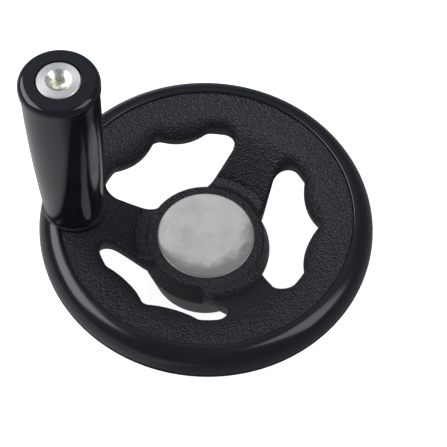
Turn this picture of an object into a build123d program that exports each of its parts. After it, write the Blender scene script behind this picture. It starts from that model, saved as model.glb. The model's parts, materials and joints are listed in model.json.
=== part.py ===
"""A moulded three-spoke machine handwheel with a finger ripple and a revolving handle.

The wheel turns about Z and stands on its hub's back at Z = 0. The handle stands up along
+Z over the spoke that points to -X. All sizes are in millimetres. The functions work from
the rim's middle plane, and main() lifts what they make on to the floor.
"""
from build123d import *
import os
from math import cos, radians, sin

# Rim and web
wheel_diameter = 125.0
rim_round = 7.2              # radial depth of the rim's half-round
rim_front = 8.5              # from the middle plane up to the rim's crest
rim_back = 7.5               # from the middle plane down to the rim's back
bead_width = 1.0             # from the crest in to the step
bead_step = 0.9              # from the glossy bead down to the grained web
bead_edge_radius = 0.35
web_width = 12.4             # from the step in to the ripple's notches
web_fall = 1.9               # how far the web drops from the step to the knee
knee_weight = 6.0            # a higher weight makes the bend into the spokes tighter
heel_rise = 1.6              # how far the back has risen where it meets the spokes
heel_weight = 3.0

# Spokes
spoke_count = 3
spoke_width = 21.0
spoke_root_radius = 24.5     # the spokes' depth is measured here
spoke_root_depth = 17.6      # from the knee down to the spokes' faces at the root
spoke_thickness = 7.7        # along Z

# Windows between the spokes
ripples_per_turn = 12
ripple_depth = 3.3
ripple_notch_radius = 2.2
window_tip_radius = 5.0      # corners between ripple and spoke
window_end_radius = 20.0     # inside the hub
spoke_root_fillet = 1.5
window_front_roll = 3.0
window_back_roll = 2.0

# Hub
hub_front = -10.0
hub_length = 24.7
hub_front_radius = 22.5
hub_belly_radius = 24.8
hub_belly_depth = 8.5        # from the hub's front to its widest ring
hub_back_radius = 21.0
hub_front_edge = 1.3
hub_belly_round = 3.0
hub_back_edge = 0.8

# Metal core moulded into the hub
core_face_radius = 18.5
core_face_thickness = 5.0
core_proud = 1.0             # its face stands this far out of the hub
core_edge_chamfer = 0.5
core_neck_radius = 14.0
core_neck_length = 4.0
core_flats = 30.0            # across the flats of its hexagon
shaft_bore_diameter = 16.0
shaft_bore_depth = 20.0
shaft_bore_chamfer = 0.8
grub_hole_radius = 3.4       # tapping size of the two holes for grub screws
grub_access_radius = 4.5     # through the moulding
grub_height = 8.0            # above the hub's back
grub_angles = (30.0, 150.0)

# Handle seat and the bush under it
handle_inset = 5.9           # from the rim's crest in to the handle's axis
seat_radius = 12.3
seat_stand = 0.1             # above the rim's crest
seat_edge = 0.5
bush_radius = 6.5
bush_length = 12.0
bush_groove_depth = 0.8
bush_groove_width = 3.0
thread_radius = 4.0
thread_length = 10.0

# Revolving grip
grip_length = 76.2
grip_base_radius = 10.8
grip_middle_radius = 12.6
grip_neck_radius = 13.05     # just under the bead at the free end
grip_bead_radius = 13.6
grip_bead_height = 5.0
grip_bead_rise = 0.6         # height of the crease under the bead
grip_crease_radius = 0.4
grip_crown_radius = 2.4
grip_base_chamfer = 0.6
grip_play = 0.15             # free at each end of the grip

# Spindle
shank_radius = 5.0
shank_clearance = 0.06
head_radius = 7.4
head_height = 5.0
head_gap = 0.45              # round the head in its counterbore
head_proud = 0.2
head_chamfer = 0.4
socket_flats = 5.0
socket_depth = 3.6
socket_mouth_radius = 4.4
socket_mouth_depth = 1.5

wheel_radius = wheel_diameter / 2
crest_radius = wheel_radius - rim_round
step_radius = crest_radius - bead_width
ripple_outer = step_radius - web_width
ripple_inner = ripple_outer - ripple_depth
ripple_pitch = 360 / ripples_per_turn
half_sector = 180 / spoke_count
web_top = rim_front - bead_step
knee_height = web_top - web_fall
heel_height = heel_rise - rim_back
spoke_slope = spoke_root_depth / (ripple_outer - spoke_root_radius)
spoke_end_radius = core_neck_radius
hub_back = hub_front - hub_length
core_front = hub_front + core_proud
core_hexagon_top = core_front - core_face_thickness - core_neck_length
grub_level = hub_back + grub_height
handle_place = Pos(rim_round + handle_inset - wheel_radius, 0, 0)
seat_top = rim_front + seat_stand
grip_bottom = seat_top + grip_play
grip_top = grip_bottom + grip_length
head_top = grip_top + head_proud
head_bottom = head_top - head_height


def turned(*edges):
    """The solid turned about Z from a closed profile drawn with X out and Z up."""
    return revolve(Plane.XZ * make_face(Wire(edges)), Axis.Z)


def turned_outline(*points, radii):
    """Turned from the axis along an outline with rounded corners and back to the axis."""
    outline = FilletPolyline(*points, radius=radii)
    return turned(*outline.edges(), Line(points[-1], points[0]))


def bar(radius, bottom, top):
    return Pos(0, 0, bottom) * extrude(Circle(radius), top - bottom)


def polar(radius, degrees):
    return Vector(radius * cos(radians(degrees)), radius * sin(radians(degrees)))


def rim_web_and_spokes():
    """The turned blank before the windows are cut, with its seam on a spoke.

    Front and back are conics: each runs nearly straight along the web, bends at the
    knee or the heel, and runs nearly straight again down the spokes into the hub.
    """
    spoke_front = knee_height - spoke_slope * (ripple_outer - spoke_end_radius)
    spoke_back = spoke_front - spoke_thickness
    heel_radius = spoke_end_radius + (heel_height - spoke_back) / spoke_slope
    blank = turned(
        Bezier((step_radius, web_top), (ripple_outer, knee_height),
               (spoke_end_radius, spoke_front), weights=(1, knee_weight, 1)),
        Line((spoke_end_radius, spoke_front), (spoke_end_radius, spoke_back)),
        Bezier((spoke_end_radius, spoke_back), (heel_radius, heel_height),
               (crest_radius, -rim_back), weights=(1, heel_weight, 1)),
        EllipticalCenterArc((crest_radius, 0), rim_round, rim_back, -90, arc_size=90),
        EllipticalCenterArc((crest_radius, 0), rim_round, rim_front, 0, arc_size=90),
        Line((crest_radius, rim_front), (step_radius, rim_front)),
        Line((step_radius, rim_front), (step_radius, web_top)),
    )
    bead_edge = blank.edges().filter_by(GeomType.CIRCLE).filter_by(
        lambda e: abs(e.radius - step_radius) < 0.01
    ).sort_by(Axis.Z)[-1]
    return Rot(0, 0, half_sector) * fillet(bead_edge, bead_edge_radius)


def notch_arc(start, end, degrees):
    """A notch's round, or part of it, about the centre of the notch at this angle."""
    centre = polar(ripple_outer - ripple_notch_radius, degrees)
    middle = centre + (start + end - centre * 2).normalized() * ripple_notch_radius
    return ThreePointArc(start, middle, end)


def ripple_edges():
    """The rim side of one window: round bumps between notches, all of them arcs.

    A bump's arc touches the notch on each side of it. Its radius follows from the
    notch's radius and from the two circles between which the ripple runs.
    """
    notch_centre = ripple_outer - ripple_notch_radius
    across = notch_centre * cos(radians(ripple_pitch / 2))
    bump_radius = (
        (notch_centre**2 + ripple_inner**2 - 2 * ripple_inner * across - ripple_notch_radius**2)
        / (2 * (ripple_notch_radius + across - ripple_inner))
    )
    bumps = []
    for middle in (-ripple_pitch / 2, ripple_pitch / 2):
        centre = polar(ripple_inner + bump_radius, middle)
        hollows = [polar(notch_centre, middle + side * ripple_pitch / 2) for side in (-1, 1)]
        start, end = [h + (centre - h).normalized() * ripple_notch_radius for h in hollows]
        bumps.append((start, polar(ripple_inner, middle), end))
    first, last = bumps
    plain_middle = (half_sector + ripple_pitch) / 2
    return [
        ThreePointArc(*[polar(ripple_outer, a) for a in (-half_sector, -plain_middle, -ripple_pitch)]),
        notch_arc(polar(ripple_outer, -ripple_pitch), first[0], -ripple_pitch),
        ThreePointArc(*first),
        notch_arc(first[2], last[0], 0),
        ThreePointArc(*last),
        notch_arc(last[2], polar(ripple_outer, ripple_pitch), ripple_pitch),
        ThreePointArc(*[polar(ripple_outer, a) for a in (ripple_pitch, plain_middle, half_sector)]),
    ]


def window_outline():
    """The window that faces +X, between two spokes and the ripple.

    It ends on a circle inside the hub, so that the hub's own side closes it.
    """
    outline = make_face(Wire([
        Line((0, 0), polar(ripple_outer, -half_sector)),
        *ripple_edges(),
        Line(polar(ripple_outer, half_sector), (0, 0)),
    ])) - Circle(window_end_radius)
    for side in (-1, 1):
        spoke = Pos(wheel_radius / 2, 0) * Rectangle(wheel_radius, spoke_width)
        outline -= Rot(0, 0, side * half_sector) * spoke
    tips = outline.vertices().group_by(lambda v: round(abs(v.Y), 3))[-1]
    return fillet(tips, window_tip_radius)


def window_edges(shell, on_front):
    """The edges of the windows' upright walls outside the hub, on the shell's front or back."""
    walls = shell.faces().filter_by(
        lambda f: abs(f.normal_at().Z) < 0.001
        and window_end_radius + 0.1 < polar_radius(f.position_at(0.5, 0.5)) < ripple_outer + 0.1
    )
    return ShapeList(
        edge for wall in walls for edge in wall.edges()
        if abs((edge % 0.5).Z) < 0.99 and (edge.center().Z > wall.center().Z) == on_front
    )


def polar_radius(point):
    return Vector(point.X, point.Y).length


def hub():
    return turned_outline(
        (0, hub_front),
        (hub_front_radius, hub_front),
        (hub_belly_radius, hub_front - hub_belly_depth),
        (hub_back_radius, hub_back),
        (0, hub_back),
        radii=(hub_front_edge, hub_belly_round, hub_back_edge),
    )


def core_blank():
    """The metal core before it is bored: face, neck and hexagon that keys it in the hub."""
    face = chamfer(
        bar(core_face_radius, core_front - core_face_thickness, core_front).edges().sort_by(Axis.Z)[-1],
        core_edge_chamfer,
    )
    neck = bar(core_neck_radius, core_hexagon_top, core_front - core_face_thickness)
    hexagon = RegularPolygon(core_flats / 2, 6, major_radius=False, rotation=30 + grub_angles[0])
    return face + neck + Pos(0, 0, hub_back) * extrude(hexagon, core_hexagon_top - hub_back)


def grub_holes(radius):
    """Radial drills from the shaft bore out through the hub, one for each grub screw."""
    drill = Pos(0, 0, grub_level) * Rot(0, 90, 0) * extrude(Circle(radius), hub_belly_radius)
    return [Rot(0, 0, angle) * drill for angle in grub_angles]


def bush_blank():
    """The threaded bush before it is bored, with a groove that the moulding grips."""
    bush = bar(bush_radius, seat_top - bush_length, seat_top)
    middle = seat_top - bush_length / 2
    groove = bar(bush_radius, middle - bush_groove_width / 2, middle + bush_groove_width / 2)
    groove -= bar(bush_radius - bush_groove_depth, middle - bush_groove_width / 2, middle + bush_groove_width / 2)
    return bush - groove


def wheel_body():
    """The one moulding: rim, web, spokes, hub and handle seat."""
    shell = rim_web_and_spokes()
    window = Pos(0, 0, -wheel_radius) * extrude(window_outline(), wheel_diameter)
    for turn in range(spoke_count):
        shell -= Rot(0, 0, 360 / spoke_count * turn) * window
    shell = fillet(window_edges(shell, on_front=False), window_back_roll)
    shell = fillet(window_edges(shell, on_front=True), window_front_roll)
    seat = bar(seat_radius, 0, seat_top)
    seat = fillet(seat.edges().sort_by(Axis.Z)[-1], seat_edge)
    middle = hub()
    body = shell + middle
    body = fillet(new_edges(shell, middle, combined=body), spoke_root_fillet)
    body += handle_place * seat
    for access in grub_holes(grub_access_radius):
        body -= access
    return body - core_blank() - handle_place * bush_blank() - handle_place * thread_run_out()


def thread_run_out():
    """Room under the spindle's end, left open through the bush."""
    return bar(thread_radius, seat_top - bush_length, seat_top)


def hub_core():
    bore = bar(shaft_bore_diameter / 2, hub_back, hub_back + shaft_bore_depth)
    core = core_blank() - bore
    mouth = core.edges().filter_by(GeomType.CIRCLE).filter_by(
        lambda e: abs(e.radius - shaft_bore_diameter / 2) < 0.01
    ).sort_by(Axis.Z)[0]
    core = chamfer(mouth, shaft_bore_chamfer)
    for hole in grub_holes(grub_hole_radius):
        core -= hole
    return core


def handle_bush():
    return handle_place * (bush_blank() - thread_run_out())


def handle_spindle():
    """Shoulder screw: thread in the bush, shank in the grip, head in the grip's free end."""
    thread = bar(thread_radius, seat_top - thread_length, seat_top)
    shank = bar(shank_radius, seat_top, head_bottom)
    head = bar(head_radius, head_bottom, head_top)
    head = chamfer(head.edges().sort_by(Axis.Z)[-1], head_chamfer)
    socket = RegularPolygon(socket_flats / 2, 6, major_radius=False)
    socket = Pos(0, 0, head_top - socket_depth) * extrude(socket, socket_depth)
    mouth = turned(
        Line((0, head_top), (socket_mouth_radius, head_top)),
        Line((socket_mouth_radius, head_top), (socket_flats / 2, head_top - socket_mouth_depth)),
        Line((socket_flats / 2, head_top - socket_mouth_depth), (0, head_top - socket_mouth_depth)),
        Line((0, head_top - socket_mouth_depth), (0, head_top)),
    )
    return handle_place * (thread + shank + head - socket - mouth)


def handle_grip():
    """The grip swells from its base to a bead round the free end, and is bored for the spindle."""
    neck_height = grip_top - grip_bead_height
    bead = FilletPolyline(
        (grip_neck_radius, neck_height),
        (grip_bead_radius, neck_height + grip_bead_rise),
        (grip_bead_radius, grip_top),
        (0, grip_top),
        radius=(grip_crease_radius, grip_crown_radius),
    )
    solid = turned(
        Line((0, grip_bottom), (grip_base_radius - grip_base_chamfer, grip_bottom)),
        Line((grip_base_radius - grip_base_chamfer, grip_bottom),
             (grip_base_radius, grip_bottom + grip_base_chamfer)),
        ThreePointArc((grip_base_radius, grip_bottom + grip_base_chamfer),
                      (grip_middle_radius, (grip_bottom + neck_height) / 2),
                      (grip_neck_radius, neck_height)),
        *bead.edges(),
        Line((0, grip_top), (0, grip_bottom)),
    )
    bore = bar(shank_radius + shank_clearance, grip_bottom, grip_top)
    counterbore = bar(head_radius + head_gap, head_bottom - grip_play, grip_top)
    return handle_place * (solid - bore - counterbore)


def main():
    os.makedirs("parts", exist_ok=True)
    nodes = {
        "wheel_body": wheel_body(),
        "hub_core": hub_core(),
        "handle_insert": handle_bush(),
        "handle_spindle": handle_spindle(),
        "handle_grip": handle_grip(),
    }
    for name, solid in nodes.items():
        export_step(Pos(0, 0, -hub_back) * solid, f"parts/{name}.step")


main()
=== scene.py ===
"""Moulded three-spoke handwheel with a revolving handle: its finishes, studio and camera."""
import json
from math import cos, pi, radians, sin

import bmesh
import bpy
import numpy as np
from bpy.props import FloatProperty, FloatVectorProperty, PointerProperty
from mathutils import Matrix, Vector


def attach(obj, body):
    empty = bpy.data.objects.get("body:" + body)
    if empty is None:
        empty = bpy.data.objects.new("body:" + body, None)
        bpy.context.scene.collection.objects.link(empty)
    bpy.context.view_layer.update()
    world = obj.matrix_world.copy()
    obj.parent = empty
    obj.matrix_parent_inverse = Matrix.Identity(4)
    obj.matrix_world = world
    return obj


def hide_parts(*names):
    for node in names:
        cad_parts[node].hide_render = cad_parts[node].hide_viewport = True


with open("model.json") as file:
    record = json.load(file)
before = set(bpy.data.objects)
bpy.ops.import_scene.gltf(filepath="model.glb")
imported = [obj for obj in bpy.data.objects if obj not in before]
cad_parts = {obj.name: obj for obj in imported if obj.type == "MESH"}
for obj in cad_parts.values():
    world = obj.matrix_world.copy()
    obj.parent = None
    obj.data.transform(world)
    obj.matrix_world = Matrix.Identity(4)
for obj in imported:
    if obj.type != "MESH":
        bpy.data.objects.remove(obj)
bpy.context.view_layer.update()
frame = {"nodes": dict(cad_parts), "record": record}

bl_info = {
    "name": "Handwheel finishes",
    "version": (1, 0, 0),
    "blender": (4, 5, 0),
    "location": "View3D > Sidebar > Handwheel",
    "description": "Gives a moulded handwheel its grained plastic, glossy grip and turned metal, and a studio",
    "category": "Material",
}

SPIN = next(j for j in frame["record"]["behaviour"]["joints"] if j["name"] == "grip_spin")
HANDLE_X, HANDLE_Y = SPIN["pos_m"][:2]
RIM_TOP = SPIN["pos_m"][2]


# ---------------------------------------------------------------- sizes

# Sizes are in millimetres, but for LIFT. Names in R are radii, and heights count from the rim's middle plane.
MM = 0.001
WINDOWS = 3
THIRD = radians(120)

# Rim
CREST_R = 55.3
RIM_FRONT, RIM_BACK, RIM_ROUND = 8.5, -7.5, 7.2
STEP_R, BEAD_ROUND = 54.3, 0.8       # where the web meets the rim's bead, and the round on that bead
LIFT = RIM_TOP - RIM_FRONT * MM      # the rim's middle plane above the floor, in metres

# Web and spokes
WEB_TOP, KNEE_Z, HEEL_Z = 7.6, 5.7, -5.9
KNEE_WEIGHT, HEEL_WEIGHT = 6.0, 3.0  # how tightly front and back bend into the spokes
SLOPE, SPOKE_THICK, INNER_R = 17.6 / 17.4, 7.7, 14.0   # of the spokes, down to where they end in the hub
SPOKE_HALF, SPOKE_ANGLE, SPOKE_FLARE = 9.8, radians(60), 0.22
FOOT_R, FOOT_WIDTH, FOOT_RISE, FOOT_SUNK = 27.0, 6.0, 6.2, 0.02    # where a spoke rises to the hub's ring

# Windows
RIPPLE_R, RIPPLE_DEPTH, RIPPLE_PITCH, NOTCH_R = 41.9, 3.3, radians(30), 3.0
TIP_R, WINDOW_END_R = 4.7, 16.5
NOSE_AT_RIPPLE, NOSE_AT_SPOKE = 4.7, 1.7   # how far the rounded nose reaches back from the window
NOSE_LIFT, NOSE_DROP = 2.7, 1.2      # its line above half thickness at the ripple, below it along the spokes
NOSE_FADE = 9.0                      # the length of spoke in which the line goes from one to the other
RIPPLE_STEPS, EDGE_STEPS = 2000, 400   # points on the exact outline, before it is spaced evenly

# Hub, the pocket for its core, and the handle's seat
HUB_FRONT, HUB_BACK = -10.0, -34.7
CORE_FACE_R, CORE_FACE_Z, NECK_R, NECK_Z, CORE_FLAT = 18.5, -14.0, 14.0, -18.0, 15.0
GRUB_BEARINGS, GRUB_ACCESS_R, GRUB_HEIGHT = (30, 150), 4.5, 8.0
SEAT_R, SEAT_TOP, SEAT_EDGE, BUSH_R = 11.4, 8.6, 0.5, 6.4


# ---------------------------------------------------------------- settings

class MouldingFinish(bpy.types.PropertyGroup):
    """Looks of the one black moulding: rim, web, spokes and hub."""
    colour: FloatVectorProperty(name="Colour", description="Colour of the plastic", subtype="COLOR",
                                size=3, min=0, max=1, default=(0.0075, 0.0085, 0.0130))
    step_radius: FloatProperty(name="Step radius", description="Where the grained web meets the smooth rim",
                               unit="LENGTH", default=STEP_R * MM)
    grain_size: FloatProperty(name="Grain size", description="Width of one pebble of the grain",
                              unit="LENGTH", default=0.00078)
    grain_depth: FloatProperty(name="Grain depth", description="Height of the grain from pit to top",
                               unit="LENGTH", default=0.00036)
    web_roughness: FloatProperty(name="Web roughness", description="Roughness of the grained plastic",
                                 subtype="FACTOR", min=0, max=1, default=0.36)
    rim_roughness: FloatProperty(name="Rim roughness", description="Roughness of the polished rim",
                                 subtype="FACTOR", min=0, max=1, default=0.16)


class GripFinish(bpy.types.PropertyGroup):
    """Looks of the glossy revolving grip."""
    colour: FloatVectorProperty(name="Colour", description="Colour of the plastic", subtype="COLOR",
                                size=3, min=0, max=1, default=(0.0065, 0.0085, 0.0130))
    roughness: FloatProperty(name="Roughness", description="Roughness of the polished plastic",
                             subtype="FACTOR", min=0, max=1, default=0.10)


class MetalFinish(bpy.types.PropertyGroup):
    """Looks of the hub core, the spindle and its bush."""
    core_colour: FloatVectorProperty(name="Core colour", description="Colour of the hub core",
                                     subtype="COLOR", size=3, min=0, max=1, default=(0.90, 0.89, 0.87))
    core_roughness: FloatProperty(name="Core roughness", description="Roughness of the core's face",
                                  subtype="FACTOR", min=0, max=1, default=0.50)
    spindle_colour: FloatVectorProperty(name="Spindle colour", description="Colour of the plated spindle",
                                        subtype="COLOR", size=3, min=0, max=1, default=(0.74, 0.74, 0.74))
    socket_colour: FloatVectorProperty(name="Socket colour", description="Warmer plating inside the key socket",
                                       subtype="COLOR", size=3, min=0, max=1, default=(0.92, 0.91, 0.82))
    bush_colour: FloatVectorProperty(name="Bush colour", description="Colour of the threaded bush",
                                     subtype="COLOR", size=3, min=0, max=1, default=(0.66, 0.50, 0.24))


class StudioSettings(bpy.types.PropertyGroup):
    """Floor, lamps and camera."""
    floor_colour: FloatVectorProperty(name="Floor colour", description="Colour of the floor", subtype="COLOR",
                                      size=3, min=0, max=1, default=(0.76, 0.79, 0.84))
    left_power: FloatProperty(name="Left softbox", description="Power of the softbox on the handle's side",
                              unit="POWER", default=4.8)
    right_power: FloatProperty(name="Right softbox", description="Power of the softbox across from the handle",
                               unit="POWER", default=1.9)
    back_power: FloatProperty(name="Back softbox", description="Power of the softbox behind the wheel",
                              unit="POWER", default=0.34)
    elevation: FloatProperty(name="Camera elevation", description="How steeply the camera looks down",
                             subtype="ANGLE", default=radians(59.388))
    roll: FloatProperty(name="Camera roll", description="Turn of the picture about the line of sight",
                        subtype="ANGLE", default=radians(3.550))
    bearing: FloatProperty(name="Camera bearing", description="Turn of the camera about the wheel's axis",
                           subtype="ANGLE", default=radians(-0.95))
    distance: FloatProperty(name="Camera distance", description="From the camera to the rim's middle plane",
                            unit="LENGTH", default=0.507776)


# ---------------------------------------------------------------- the moulding's skin

def unit(angle):
    """Unit vectors at these angles, the last axis holding x and y."""
    return np.stack([np.cos(angle), np.sin(angle)], axis=-1)


def full_turn(count):
    return np.linspace(0, 2 * np.pi, count, endpoint=False)


def turned(points, angle):
    """Points turned about Z."""
    c, s = cos(angle), sin(angle)
    x, y, z = np.moveaxis(points, -1, 0)
    return np.stack([c * x - s * y, s * x + c * y, z], axis=-1)


def conic(first, middle, last, weight, steps=EDGE_STEPS):
    """Points of a conic: the weighted mean of three points, with weights (1-t)^2, 2wt(1-t) and t^2."""
    t = np.linspace(0, 1, steps)[:, None]
    a, b, c = (1 - t) ** 2, 2 * weight * t * (1 - t), t ** 2
    return (a * np.array(first) + b * np.array(middle) + c * np.array(last)) / (a + b + c)


def web_heights(radius, front):
    """Height of the moulding's front or back at each radius, read along its conic."""
    low = KNEE_Z - SLOPE * (RIPPLE_R - INNER_R)
    if front:
        line = conic((INNER_R, low), (RIPPLE_R, KNEE_Z), (STEP_R, WEB_TOP), KNEE_WEIGHT)
    else:
        heel = INNER_R + (HEEL_Z - low + SPOKE_THICK) / SLOPE
        line = conic((INNER_R, low - SPOKE_THICK), (heel, HEEL_Z), (CREST_R, RIM_BACK), HEEL_WEIGHT)
    return np.interp(radius, line[:, 0], line[:, 1])


def ripple_radius(angle):
    """Radius of the window's rim side: circles of two sizes in turn, in polar form.

    A circle of radius q about a centre at distance c is r = c cos(a) +- sqrt(q^2 - c^2 sin(a)^2).
    """
    inner, hollow, half = RIPPLE_R - RIPPLE_DEPTH, RIPPLE_R - NOTCH_R, RIPPLE_PITCH / 2
    across = hollow * cos(half)
    # The crown's radius, at which its circle touches the notches on both sides of it.
    bulge = ((hollow ** 2 + inner ** 2 - 2 * inner * across - NOTCH_R ** 2)
             / (2 * (NOTCH_R + across - inner)))
    centre = inner + bulge
    touch = centre * unit(half) - (hollow, 0)
    touch = touch / np.hypot(*touch) * NOTCH_R + (hollow, 0)
    reach = np.arctan2(touch[1], touch[0])
    near = np.abs((angle + half) % RIPPLE_PITCH - half)
    off = near - half
    notch = hollow * np.cos(near) + np.sqrt(np.maximum(NOTCH_R ** 2 - (hollow * np.sin(near)) ** 2, 0))
    crown = centre * np.cos(off) - np.sqrt(bulge ** 2 - (centre * np.sin(off)) ** 2)
    return np.where(angle >= RIPPLE_PITCH, RIPPLE_R, np.where(near < reach, notch, crown))


def half_window(count):
    """Half of a window's outline, evenly spaced: ripple, round tip, then the spoke's side in to the hub.

    Returns the points, the normals into the material, how far along the tip each lies, 0 to 1,
    and how far down the spoke, 0 at the tip's end and 1 past the length in which the nose fades.
    """
    off = np.arcsin((SPOKE_HALF + TIP_R) / (RIPPLE_R - TIP_R))
    tip = SPOKE_ANGLE - off
    angle = np.linspace(0, tip, RIPPLE_STEPS)
    ripple = ripple_radius(angle)[:, None] * unit(angle)
    turn = np.linspace(tip, SPOKE_ANGLE + radians(90) + np.arctan(SPOKE_FLARE), EDGE_STEPS)[1:]
    corner = (RIPPLE_R - TIP_R) * unit(tip) + TIP_R * unit(turn)
    along = unit(SPOKE_ANGLE)
    inward = np.array([along[1], -along[0]]) * SPOKE_FLARE - along
    side = corner[-1] + np.linspace(0, corner[-1] @ along - WINDOW_END_R, EDGE_STEPS)[1:, None] * inward
    line = np.concatenate([ripple, corner, side])
    length = np.concatenate([[0], np.cumsum(np.hypot(*np.diff(line, axis=0).T))])
    here = np.linspace(0, length[-1], count)
    points = np.column_stack([np.interp(here, length, line[:, k]) for k in (0, 1)])
    tangent = np.gradient(points, here, axis=0)
    tangent[0], tangent[-1] = (0, 1), inward
    normals = np.column_stack([tangent[:, 1], -tangent[:, 0]])
    normals /= np.hypot(*normals.T)[:, None]
    start, end = length[len(ripple) - 1], length[len(ripple) + len(corner) - 1]
    on_tip = np.clip((here - start) / (end - start), 0, 1)
    return points, normals, on_tip, np.clip((here - end) / NOSE_FADE, 0, 1)


def half_sector(front, count=130, nose=11, across=15):
    """One sixth of the web, from a window's middle to a spoke's middle, as a grid.

    Each row first rounds the window's nose, whose section is a quarter ellipse from the nose
    line to the face, then runs in a straight line to the far side: the step's or the crest's
    circle, and after it the spoke's middle line. The height is the face's own, less half the
    thickness times a drop that is 1 on the nose line and 0 on the face, and lift moves the nose
    line up or down. Near the hub the front rises to a foot, by a square law, that ends level
    with the hub's ring. Also returns the angles on the circle.
    """
    points, normals, tip, down = half_window(count)
    ease = tip * tip * (3 - 2 * tip)
    width = (NOSE_AT_RIPPLE * (1 - ease) + NOSE_AT_SPOKE * ease)[:, None]
    turn = np.linspace(0, np.pi / 2, nose)
    inset = width * (1 - np.cos(turn))[None, :]
    ring = points[:, None, :] + normals[:, None, :] * inset[:, :, None]
    drop = np.broadcast_to(1 - np.sin(turn), inset.shape)
    last = ring[:, -1]
    outer = STEP_R if front else CREST_R
    spoke = unit(SPOKE_ANGLE)
    bearing = np.arctan2(last[:, 1], last[:, 0])
    begin = int(np.argmax(bearing >= RIPPLE_PITCH))
    end = int(np.argmax(tip >= 1))
    arc, fall = CREST_R * (SPOKE_ANGLE - bearing[begin]), CREST_R - last[end] @ spoke
    corner = begin + round((end - begin) * arc / (arc + fall))
    step = np.arange(count)
    angle = np.where(step < begin, bearing, bearing[begin] + (SPOKE_ANGLE - bearing[begin])
                     * np.clip((step - begin) / (corner - begin), 0, 1))
    radius = outer - (outer - last[end] @ spoke) * np.clip((step - corner) / (end - corner), 0, 1)
    radius = np.where(step > end, last @ spoke, radius)
    target = radius[:, None] * unit(angle)
    v = np.linspace(0, 1, across)[None, 1:, None]
    rest = last[:, None, :] * (1 - v) + target[:, None, :] * v
    flat = np.concatenate([ring, rest], axis=1)
    drop = np.concatenate([drop, np.zeros((count, across - 1))], axis=1)
    reach = np.hypot(flat[..., 0], flat[..., 1])
    face, other = web_heights(reach, front), web_heights(reach, not front)
    lift = NOSE_LIFT * (1 - down) - NOSE_DROP * down
    height = face - ((face - other) / 2 - lift[:, None]) * drop
    if front:
        foot = height + FOOT_RISE * np.clip((FOOT_R - reach) / FOOT_WIDTH, 0, 1) ** 2 * (1 - drop)
        height = np.where(reach < FOOT_R, np.minimum(foot, HUB_FRONT - FOOT_SUNK), foot)
    return np.dstack([flat, height]), angle[: corner + 1]


def grid_faces(rows, columns, closed=False):
    """Quads of a grid whose points are stored row by row. closed joins its last row to its first."""
    at = np.arange(rows * columns).reshape(rows, columns)
    if closed:
        at = np.concatenate([at, at[:1]])
    return np.stack([at[:-1, :-1], at[1:, :-1], at[1:, 1:], at[:-1, 1:]], axis=-1).reshape(-1, 4)


def revolved(profile, angles, squash=None):
    """A profile of (radius, height) turned about Z, one row of points at each angle.

    squash, where given, changes the radii with the angle.
    """
    radius, height = np.array(profile, float).T
    radius = np.broadcast_to(radius, (len(angles), len(radius))).copy()
    if squash is not None:
        radius = squash(radius, angles)
    across = radius[..., None] * unit(angles)[:, None, :]
    return np.dstack([across, np.broadcast_to(height, radius.shape)])


def arc_points(centre, radius, start, end, count):
    """Points of an elliptic arc: the centre plus the radius times the cosine and sine of even steps.

    Angles are in degrees, and radius is one number, or one across and one up.
    """
    a = np.radians(np.linspace(start, end, count))
    across, up = np.broadcast_to(radius, 2)
    return np.column_stack([centre[0] + across * np.cos(a), centre[1] + up * np.sin(a)])


def mesh_from(grids, name, weld=2e-7):
    """One mesh from grids of points in millimetres, each with whether it closes on itself.

    Points nearer than weld, in metres, are merged.
    """
    corners, faces, start = [], [], 0
    for grid, closed in grids:
        rows, columns = grid.shape[:2]
        corners.append(grid.reshape(-1, 3))
        faces.append(grid_faces(rows, columns, closed) + start)
        start += rows * columns
    points = np.concatenate(corners) * MM + (0, 0, LIFT)
    mesh = bpy.data.meshes.new(name)
    mesh.from_pydata(points.tolist(), [], np.concatenate(faces).tolist())
    work = bmesh.new()
    work.from_mesh(mesh)
    bmesh.ops.remove_doubles(work, verts=work.verts, dist=weld)
    bmesh.ops.recalc_face_normals(work, faces=work.faces)
    work.to_mesh(mesh)
    work.free()
    return mesh


def link(name, mesh):
    made = bpy.data.objects.new(name, mesh)
    bpy.context.collection.objects.link(made)
    return made


def rim_and_web():
    """The web's twelve patches, front and back, their ends in the hub, and the rim band that joins them."""
    (face, angles), (back, _) = half_sector(True), half_sector(False)
    grids = []
    for patch in (face, back, np.stack([face[-1], back[-1]])):
        for turn in range(WINDOWS):
            for side in (1, -1):
                grids.append((turned(patch * (1, side, 1), turn * THIRD), False))
    band = np.concatenate([
        [(STEP_R, WEB_TOP)],
        arc_points((STEP_R + BEAD_ROUND, RIM_FRONT - BEAD_ROUND), BEAD_ROUND, 180, 90, 9),
        arc_points((CREST_R, 0), (RIM_ROUND, RIM_FRONT), 90, 0, 26),
        arc_points((CREST_R, 0), (RIM_ROUND, -RIM_BACK), 0, -90, 24)[1:],
    ])
    third = np.concatenate([angles, (2 * SPOKE_ANGLE - angles)[::-1][1:-1]])
    grids.append((revolved(band, np.concatenate([third + k * THIRD for k in range(WINDOWS)])), True))
    return grids


def hub_shell():
    """The hub's plastic: its ring, belly and back, and the pocket that holds the metal core.

    The deepest part of the pocket is a hexagon: the flat's distance over the cosine of the
    angle from the middle of its flat.
    """
    def hexagon(radius, angles):
        flat = CORE_FLAT / np.cos((angles - radians(30)) % radians(60) - radians(30))
        return np.where(radius == CORE_FLAT, flat[:, None], radius)
    profile = np.concatenate([
        [(CORE_FACE_R, HUB_FRONT)],
        arc_points((21.35, -11.2), 1.2, 90, 10, 9),       # the ring's outer edge
        arc_points((22.0, -18.6), 2.8, 12, -12, 7),       # the belly
        arc_points((20.15, -33.9), 0.8, -12, -90, 7),     # the edge of the back
        [(CORE_FLAT, HUB_BACK), (CORE_FLAT, NECK_Z), (NECK_R, NECK_Z),
         (NECK_R, CORE_FACE_Z), (CORE_FACE_R, CORE_FACE_Z), (CORE_FACE_R, HUB_FRONT)],
    ])
    return revolved(profile, full_turn(240), hexagon)


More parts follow.
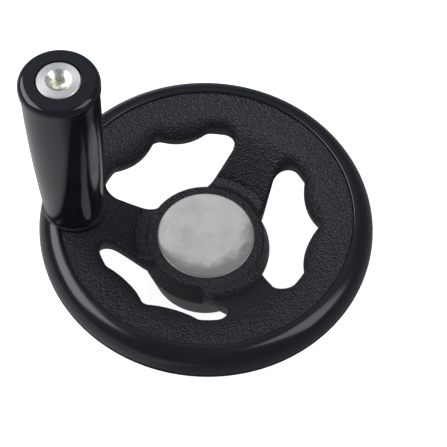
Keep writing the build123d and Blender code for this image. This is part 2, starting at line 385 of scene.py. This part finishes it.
def drill_cutter():
    """Two rods where the grub screws are reached through the hub."""
    inside, outside = NECK_R, 27.0
    along = np.array([inside, inside, outside, outside])
    wide = np.array([0.0, GRUB_ACCESS_R, GRUB_ACCESS_R, 0.0])
    across = wide[:, None] * unit(full_turn(48))[:, None, :] + (0, HUB_BACK + GRUB_HEIGHT)
    rod = np.dstack([np.broadcast_to(along, across.shape[:2]), across])
    return [(turned(rod, radians(bearing)), True) for bearing in GRUB_BEARINGS]


def cut(piece, cutter):
    """Takes the cutter out of the piece for good and removes the cutter."""
    step = piece.modifiers.new("Drill", "BOOLEAN")
    step.object, step.operation, step.solver = cutter, "DIFFERENCE", "EXACT"
    bpy.context.view_layer.update()
    piece.data = bpy.data.meshes.new_from_object(piece.evaluated_get(bpy.context.evaluated_depsgraph_get()))
    piece.modifiers.clear()
    bpy.data.objects.remove(cutter)


def wheel_skin():
    """The whole moulding as one mesh: rim and web, handle seat, and the drilled hub."""
    edge = arc_points((SEAT_R - SEAT_EDGE, SEAT_TOP - SEAT_EDGE), SEAT_EDGE, 0, 90, 7)
    seat = np.concatenate([[(BUSH_R, 0.0), (SEAT_R, 0.0)], edge, [(BUSH_R, SEAT_TOP), (BUSH_R, 0.0)]])
    seat = revolved(seat, full_turn(120)) + (HANDLE_X / MM, HANDLE_Y / MM, 0)
    hub = link("Hub shell", mesh_from([(hub_shell(), True)], "Hub shell"))
    cut(hub, link("Drill", mesh_from(drill_cutter(), "Drill")))
    body = mesh_from([*rim_and_web(), (seat, True)], "Moulding")
    work = bmesh.new()
    work.from_mesh(body)
    work.from_mesh(hub.data)
    work.to_mesh(body)
    work.free()
    bpy.data.objects.remove(hub)
    body.shade_smooth()
    body.set_sharp_from_angle(angle=radians(38))
    return link("Moulded_wheel", body)


# ---------------------------------------------------------------- node helpers

class Graph:
    """A node tree with short calls for adding and linking nodes."""

    def __init__(self, tree):
        self.tree = tree
        tree.nodes.clear()

    def add(self, kind, inputs=None, **settings):
        node = self.tree.nodes.new(kind)
        for name, value in settings.items():
            setattr(node, name, value)
        for name, value in (inputs or {}).items():
            self.put(node.inputs[name], value)
        return node

    def put(self, socket, value):
        if isinstance(value, bpy.types.NodeSocket):
            self.tree.links.new(value, socket)
        else:
            socket.default_value = value

    def maths(self, operation, *values):
        node = self.add("ShaderNodeMath", operation=operation)
        for socket, value in zip(node.inputs, values):
            self.put(socket, value)
        return node.outputs[0]

    def ramp(self, value, low, high, start=0.0, end=1.0):
        """Smooth change from start to end while value goes from low to high."""
        node = self.add("ShaderNodeMapRange", interpolation_type="SMOOTHSTEP",
                        inputs={"Value": value, "From Min": low, "From Max": high,
                                "To Min": start, "To Max": end})
        return node.outputs["Result"]

    def mix(self, factor, first, second):
        node = self.add("ShaderNodeMix", data_type="RGBA")
        for index, value in ((0, factor), (6, first), (7, second)):
            self.put(node.inputs[index], value)
        return node.outputs[2]

    def noise(self, vector, scale, detail, **others):
        """Noise from 0 to 1. others are further inputs, such as Roughness or Distortion."""
        return self.add("ShaderNodeTexNoise", inputs={
            "Vector": vector, "Scale": scale, "Detail": detail, **others}).outputs

    def bump(self, height, depth):
        node = self.add("ShaderNodeBump", inputs={"Strength": 1.0, "Distance": depth, "Height": height})
        return node.outputs[0]

    def radius(self, vector):
        """Distance from the Z axis."""
        flat = self.add("ShaderNodeVectorMath", operation="MULTIPLY", inputs={0: vector, 1: (1, 1, 0)})
        far = self.add("ShaderNodeVectorMath", operation="LENGTH", inputs={0: flat.outputs[0]})
        return far.outputs["Value"]

    def group(self, name, **inputs):
        node = self.add("ShaderNodeGroup", node_tree=bpy.data.node_groups[name])
        for key, value in inputs.items():
            self.put(node.inputs[key], value)
        return node.outputs


def rgba(colour, share=1.0):
    """A colour with its alpha, dimmed or brightened by a share."""
    return (*(c * share for c in colour), 1.0)


def node_group(name, inputs, outputs):
    """A new shader group with these named sockets. Returns its graph, inputs and output node."""
    tree = bpy.data.node_groups.new(name, "ShaderNodeTree")
    for key, value in inputs.items():
        kind = "NodeSocketVector" if value is None else "NodeSocketFloat"
        socket = tree.interface.new_socket(key, in_out="INPUT", socket_type=kind)
        if value is not None:
            socket.default_value = value
    for key in outputs:
        tree.interface.new_socket(key, in_out="OUTPUT", socket_type="NodeSocketFloat")
    graph = Graph(tree)
    return graph, graph.add("NodeGroupInput").outputs, graph.add("NodeGroupOutput").inputs


def make_pebble_grain():
    """Spark-eroded grain: rounded pebbles of two sizes with fine tooth between them."""
    g, given, out = node_group("Pebble grain", {"Vector": None, "Size": 0.001}, ("Height", "Shine"))
    per_metre = g.maths("DIVIDE", 1.0, given["Size"])
    where = given["Vector"]
    drift = g.noise(where, g.maths("MULTIPLY", per_metre, 0.55), 2.0)["Color"]
    bent = g.add("ShaderNodeVectorMath", operation="MULTIPLY_ADD",
                 inputs={0: drift, 1: (0.0011, 0.0011, 0.0011), 2: where})
    cells = g.add("ShaderNodeTexVoronoi", feature="SMOOTH_F1",
                  inputs={"Vector": bent.outputs[0], "Scale": per_metre, "Smoothness": 0.35})
    pebbles = g.maths("SUBTRACT", 1.0, cells.outputs["Distance"])
    tooth = g.noise(where, g.maths("MULTIPLY", per_metre, 2.6), 3.0, Roughness=0.6)["Fac"]
    swell = g.noise(where, g.maths("MULTIPLY", per_metre, 0.33), 2.0)["Fac"]
    height = g.maths("MULTIPLY_ADD", tooth, 0.35, pebbles)
    g.put(out["Height"], g.maths("MULTIPLY_ADD", swell, 0.9, height))
    g.put(out["Shine"], g.ramp(height, 0.65, 1.15))


def make_turned_rings():
    """Fine grooves of a turned face about an axis along Z, with a slow unevenness round the turn."""
    g, given, out = node_group("Turned rings", {"Vector": None, "Pitch": 0.0003}, ("Height", "Radius"))
    radius = g.radius(given["Vector"])
    turns = g.maths("DIVIDE", radius, given["Pitch"])
    uneven = g.add("ShaderNodeTexNoise", noise_dimensions="1D",
                   inputs={"W": turns, "Scale": 0.8, "Detail": 4.0})
    wave = g.maths("SINE", g.maths("MULTIPLY", turns, 2 * pi))
    g.put(out["Height"], g.maths("MULTIPLY_ADD", wave, 0.3, uneven.outputs["Fac"]))
    g.put(out["Radius"], radius)


def make_handling():
    """Haze and small marks that handling leaves: slow clouds with a few denser patches."""
    g, given, out = node_group("Handling haze", {"Vector": None, "Spread": 0.02}, ("Haze",))
    per_metre = g.maths("DIVIDE", 1.0, given["Spread"])
    clouds = g.noise(given["Vector"], per_metre, 6.0, Roughness=0.62)["Fac"]
    g.put(out["Haze"], g.ramp(clouds, 0.35, 0.72))


def material(name, metallic=0.0):
    made = bpy.data.materials.new(name)
    made.use_nodes = True
    graph = Graph(made.node_tree)
    shader = graph.add("ShaderNodeBsdfPrincipled", inputs={"Metallic": metallic})
    graph.add("ShaderNodeOutputMaterial", inputs={"Surface": shader.outputs[0]})
    return made, graph, shader


def place(graph, x=0.0, y=0.0):
    """Object coordinates moved so that the axis through x, y becomes the pattern's axis."""
    here = graph.add("ShaderNodeTexCoord").outputs["Object"]
    return graph.add("ShaderNodeVectorMath", operation="SUBTRACT", inputs={0: here, 1: (x, y, 0)}).outputs[0]


def dress(node, made):
    """Puts one material in every slot of a CAD node."""
    for slot in frame["nodes"][node].material_slots:
        slot.material = made


# ---------------------------------------------------------------- pieces

class HANDWHEEL_OT_finish_moulding(bpy.types.Operator):
    """Make the moulding's skin, with its grained web and its smooth rim"""
    bl_idname = "handwheel.finish_moulding"
    bl_label = "Finish moulding"

    def execute(self, context):
        look = context.scene.handwheel_moulding
        skin = wheel_skin()
        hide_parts("wheel_body")
        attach(skin, "wheel")
        made, g, shader = material("Black grained moulding")
        here = place(g)
        grained = g.ramp(g.radius(here), look.step_radius + 0.00005, look.step_radius - 0.00015)
        grain = g.group("Pebble grain", Vector=here, Size=look.grain_size)
        haze = g.group("Handling haze", Vector=here, Spread=0.03)["Haze"]
        height = g.maths("MULTIPLY", grain["Height"], grained)
        web = g.maths("MULTIPLY_ADD", grain["Shine"], -0.10, look.web_roughness + 0.05)
        rim = g.maths("MULTIPLY_ADD", haze, 0.06, look.rim_roughness)
        rough = g.add("ShaderNodeMix", data_type="FLOAT")
        for index, value in ((0, grained), (2, rim), (3, web)):
            g.put(rough.inputs[index], value)
        g.put(shader.inputs["Roughness"], rough.outputs[0])
        g.put(shader.inputs["Base Color"], g.mix(haze, rgba(look.colour), rgba(look.colour, 1.35)))
        g.put(shader.inputs["Normal"], g.bump(height, look.grain_depth))
        skin.data.materials.append(made)
        return {"FINISHED"}


class HANDWHEEL_OT_finish_grip(bpy.types.Operator):
    """Give the revolving grip its deep gloss"""
    bl_idname = "handwheel.finish_grip"
    bl_label = "Finish grip"

    def execute(self, context):
        look = context.scene.handwheel_grip
        made, g, shader = material("Glossy black grip")
        here = place(g, HANDLE_X, HANDLE_Y)
        haze = g.group("Handling haze", Vector=here, Spread=0.018)["Haze"]
        sink = g.noise(here, 70.0, 1.0)["Fac"]
        g.put(shader.inputs["Base Color"], g.mix(haze, rgba(look.colour), rgba(look.colour, 1.3)))
        g.put(shader.inputs["Roughness"], g.maths("MULTIPLY_ADD", haze, 0.05, look.roughness))
        g.put(shader.inputs["Normal"], g.bump(sink, 0.00004))
        dress("handle_grip", made)
        return {"FINISHED"}


class HANDWHEEL_OT_finish_core(bpy.types.Operator):
    """Give the hub core its plain pressed face"""
    bl_idname = "handwheel.finish_core"
    bl_label = "Finish hub core"

    def execute(self, context):
        look = context.scene.handwheel_metal
        made, g, shader = material("Hub core metal", metallic=1.0)
        here = place(g)
        haze = g.group("Handling haze", Vector=here, Spread=0.012)["Haze"]
        rings = g.group("Turned rings", Vector=here, Pitch=0.00035)
        dents = g.noise(here, 160.0, 3.0, Distortion=0.8)["Fac"]
        height = g.maths("MULTIPLY_ADD", rings["Height"], 0.05, dents)
        plain = g.mix(haze, rgba(look.core_colour), rgba(look.core_colour, 0.78))
        # Painted shade: a duller crescent along the near edge, broken up by clouds, standing in for the core
        # face's darker reflection there, that spares the bevel.
        away = g.radius(place(g, -0.0022, 0.0046))
        clouds = g.noise(here, 210.0, 4.0, Roughness=0.6, Distortion=0.6)["Fac"]
        painted_shade = g.ramp(g.maths("MULTIPLY_ADD", clouds, 0.010, away), 0.0200, 0.0262)
        bevel = g.ramp(rings["Radius"], 0.0181, 0.0183)
        painted_shade = g.maths("MULTIPLY", painted_shade, g.maths("SUBTRACT", 1.0, bevel))
        # The base colour dims to 0.42 of the core's colour under this painted shade.
        g.put(shader.inputs["Base Color"], g.mix(painted_shade, plain, rgba(look.core_colour, 0.42)))
        g.put(shader.inputs["Roughness"], g.maths("MULTIPLY_ADD", haze, 0.12, look.core_roughness))
        g.put(shader.inputs["Normal"], g.bump(height, 0.00006))
        dress("hub_core", made)
        return {"FINISHED"}


class HANDWHEEL_OT_finish_spindle(bpy.types.Operator):
    """Give the spindle its turned head and its plated key socket"""
    bl_idname = "handwheel.finish_spindle"
    bl_label = "Finish spindle"

    def execute(self, context):
        look = context.scene.handwheel_metal
        made, g, shader = material("Plated spindle", metallic=1.0)
        here = place(g, HANDLE_X, HANDLE_Y)
        rings = g.group("Turned rings", Vector=here, Pitch=0.00042)
        haze = g.group("Handling haze", Vector=here, Spread=0.004)["Haze"]
        socket = g.ramp(rings["Radius"], 0.0046, 0.0043)
        g.put(shader.inputs["Base Color"], g.mix(socket, rgba(look.spindle_colour), rgba(look.socket_colour)))
        rough = g.maths("MULTIPLY_ADD", socket, -0.16, 0.40)
        g.put(shader.inputs["Roughness"], g.maths("MULTIPLY_ADD", haze, 0.10, rough))
        g.put(shader.inputs["Normal"], g.bump(rings["Height"], 0.00005))
        dress("handle_spindle", made)
        return {"FINISHED"}


class HANDWHEEL_OT_finish_bush(bpy.types.Operator):
    """Give the bush under the handle its turned brass"""
    bl_idname = "handwheel.finish_bush"
    bl_label = "Finish bush"

    def execute(self, context):
        look = context.scene.handwheel_metal
        made, g, shader = material("Turned brass bush", metallic=1.0)
        here = place(g, HANDLE_X, HANDLE_Y)
        rings = g.group("Turned rings", Vector=here, Pitch=0.00030)
        haze = g.group("Handling haze", Vector=here, Spread=0.004)["Haze"]
        g.put(shader.inputs["Base Color"], g.mix(haze, rgba(look.bush_colour), rgba(look.bush_colour, 0.7)))
        g.put(shader.inputs["Roughness"], g.maths("MULTIPLY_ADD", haze, 0.1, 0.3))
        g.put(shader.inputs["Normal"], g.bump(rings["Height"], 0.00003))
        dress("handle_insert", made)
        return {"FINISHED"}


# ---------------------------------------------------------------- stage

def softbox(name, azimuth, elevation, distance, width, height, power):
    """An area lamp that faces the hub from this direction. Angles are in degrees, sizes in metres."""
    lamp = bpy.data.lights.new(name, "AREA")
    lamp.shape, lamp.size, lamp.size_y, lamp.energy = "RECTANGLE", width, height, power
    made = bpy.data.objects.new(name, lamp)
    away = Vector((cos(radians(azimuth)) * cos(radians(elevation)),
                   sin(radians(azimuth)) * cos(radians(elevation)), sin(radians(elevation))))
    aim = Vector((0, 0, 0.03))
    made.location = aim + away * distance
    made.rotation_euler = away.to_track_quat("Z", "Y").to_euler()
    bpy.context.collection.objects.link(made)


class HANDWHEEL_OT_build_studio(bpy.types.Operator):
    """Set out the floor, the softboxes, the sky and the camera"""
    bl_idname = "handwheel.build_studio"
    bl_label = "Build studio"

    def execute(self, context):
        look = context.scene.handwheel_studio
        self.floor(look)
        self.sky(context.scene)
        softbox("Left softbox", 168, 48, 0.85, 0.80, 0.50, look.left_power)
        softbox("Right softbox", -15, 50, 0.85, 0.40, 0.65, look.right_power)
        softbox("Back softbox", 90, 60, 0.95, 0.90, 0.70, look.back_power)
        self.camera(context.scene, look)
        context.scene.view_settings.view_transform = "Standard"
        return {"FINISHED"}

    def floor(self, look):
        mesh = bpy.data.meshes.new("Floor")
        half = 4.0
        low = -0.0001                       # just under the hub's back, so the two faces never flicker
        mesh.from_pydata([(-half, -half, low), (half, -half, low), (half, half, low), (-half, half, low)],
                         [], [(0, 1, 2, 3)])
        made = bpy.data.objects.new("Floor", mesh)
        bpy.context.collection.objects.link(made)
        paint, g, shader = material("White floor")
        shader.inputs["Base Color"].default_value = rgba(look.floor_colour)
        shader.inputs["Roughness"].default_value = 0.9
        shader.inputs["Specular IOR Level"].default_value = 0.0
        shader.inputs["Emission Color"].default_value = (1, 1, 1, 1)
        rays = g.add("ShaderNodeLightPath").outputs
        here = g.add("ShaderNodeTexCoord").outputs["Object"]
        parts = g.add("ShaderNodeSeparateXYZ", inputs={0: here}).outputs
        g.put(shader.inputs["Emission Strength"], g.maths("MULTIPLY", rays["Is Camera Ray"], 0.90))
        # Polished surfaces see a painted floor: painted light pale round the hub, a painted shadow dark in the
        # wheel's own shade, and painted light pale again beyond it, most on the handle's side.
        reach = g.radius(here)
        side = g.ramp(parts["X"], -0.015, -0.060, 0.24, 0.62)
        inner = g.ramp(reach, 0.048, 0.040, 0.02, 0.38)
        pale = g.maths("MULTIPLY_ADD", g.ramp(reach, 0.068, 0.088), side, inner)
        painted_reflection = g.add("ShaderNodeEmission", inputs={"Color": (0.96, 0.97, 1.0, 1), "Strength": pale})
        split = g.add("ShaderNodeMixShader",
                      inputs={0: rays["Is Glossy Ray"], 1: shader.outputs[0], 2: painted_reflection.outputs[0]})
        end = next(n for n in g.tree.nodes if n.type == "OUTPUT_MATERIAL")
        g.put(end.inputs["Surface"], split.outputs[0])
        mesh.materials.append(paint)

    def sky(self, scene):
        world = bpy.data.worlds.new("Studio")
        world.use_nodes = True
        scene.world = world
        g = Graph(world.node_tree)
        rays = g.add("ShaderNodeLightPath").outputs
        plain = g.add("ShaderNodeBackground", inputs={"Color": (0.84, 0.90, 1.0, 1), "Strength": 0.21})
        white = g.add("ShaderNodeBackground", inputs={"Color": (1, 1, 1, 1), "Strength": 1.0})
        both = g.add("ShaderNodeMixShader",
                     inputs={0: rays["Is Camera Ray"], 1: plain.outputs[0], 2: white.outputs[0]})
        g.add("ShaderNodeOutputWorld", inputs={"Surface": both.outputs[0]})

    def camera(self, scene, look):
        """Back is the direction from the wheel to the camera; right and up are turned by the roll."""
        back = np.array([0, -cos(look.elevation), sin(look.elevation)])
        right = np.array([1.0, 0, 0])
        up = np.cross(back, right)
        c, s = cos(look.roll), sin(look.roll)
        right, up = c * right + s * up, c * up - s * right
        shift_right, shift_up = 0.006337, -0.000458
        at = look.distance * back + shift_right * right + shift_up * up
        made = bpy.data.objects.new("Camera", bpy.data.cameras.new("Camera"))
        focal_pixels, frame_pixels, sensor = 1351.853, 447, 36.0
        made.data.sensor_width = sensor
        made.data.lens = focal_pixels / frame_pixels * sensor
        made.data.clip_start = 0.01
        bpy.context.collection.objects.link(made)
        axes = np.vstack([np.column_stack([right, up, back, at]), (0, 0, 0, 1)])
        turn = Matrix.Rotation(look.bearing, 4, "Z")
        made.matrix_world = Matrix.Translation((0, 0, LIFT)) @ turn @ Matrix(axes.tolist())
        scene.camera = made


class HANDWHEEL_PT_panel(bpy.types.Panel):
    """Settings and steps of the handwheel"""
    bl_label = "Handwheel"
    bl_idname = "HANDWHEEL_PT_panel"
    bl_space_type = "VIEW_3D"
    bl_region_type = "UI"
    bl_category = "Handwheel"

    def draw(self, context):
        for title, name in (("Moulding", "handwheel_moulding"), ("Grip", "handwheel_grip"),
                            ("Metal", "handwheel_metal"), ("Studio", "handwheel_studio")):
            box = self.layout.box()
            box.label(text=title)
            settings = getattr(context.scene, name)
            for key in settings.__annotations__:
                box.prop(settings, key)
        for step in STEPS:
            self.layout.operator(step.bl_idname)


SETTINGS = {"handwheel_moulding": MouldingFinish, "handwheel_grip": GripFinish,
            "handwheel_metal": MetalFinish, "handwheel_studio": StudioSettings}
STEPS = (HANDWHEEL_OT_finish_moulding, HANDWHEEL_OT_finish_grip, HANDWHEEL_OT_finish_core,
         HANDWHEEL_OT_finish_spindle, HANDWHEEL_OT_finish_bush, HANDWHEEL_OT_build_studio)


def register():
    for kind in (*SETTINGS.values(), *STEPS, HANDWHEEL_PT_panel):
        bpy.utils.register_class(kind)
    for name, kind in SETTINGS.items():
        setattr(bpy.types.Scene, name, PointerProperty(type=kind))


def unregister():
    for name in SETTINGS:
        delattr(bpy.types.Scene, name)
    for kind in (HANDWHEEL_PT_panel, *reversed(STEPS), *reversed(SETTINGS.values())):
        bpy.utils.unregister_class(kind)


def main():
    register()
    make_pebble_grain()
    make_turned_rings()
    make_handling()
    bpy.ops.handwheel.finish_moulding()
    bpy.ops.handwheel.finish_grip()
    bpy.ops.handwheel.finish_core()
    bpy.ops.handwheel.finish_spindle()
    bpy.ops.handwheel.finish_bush()
    bpy.ops.handwheel.build_studio()


if __name__ == "__main__":
    main()
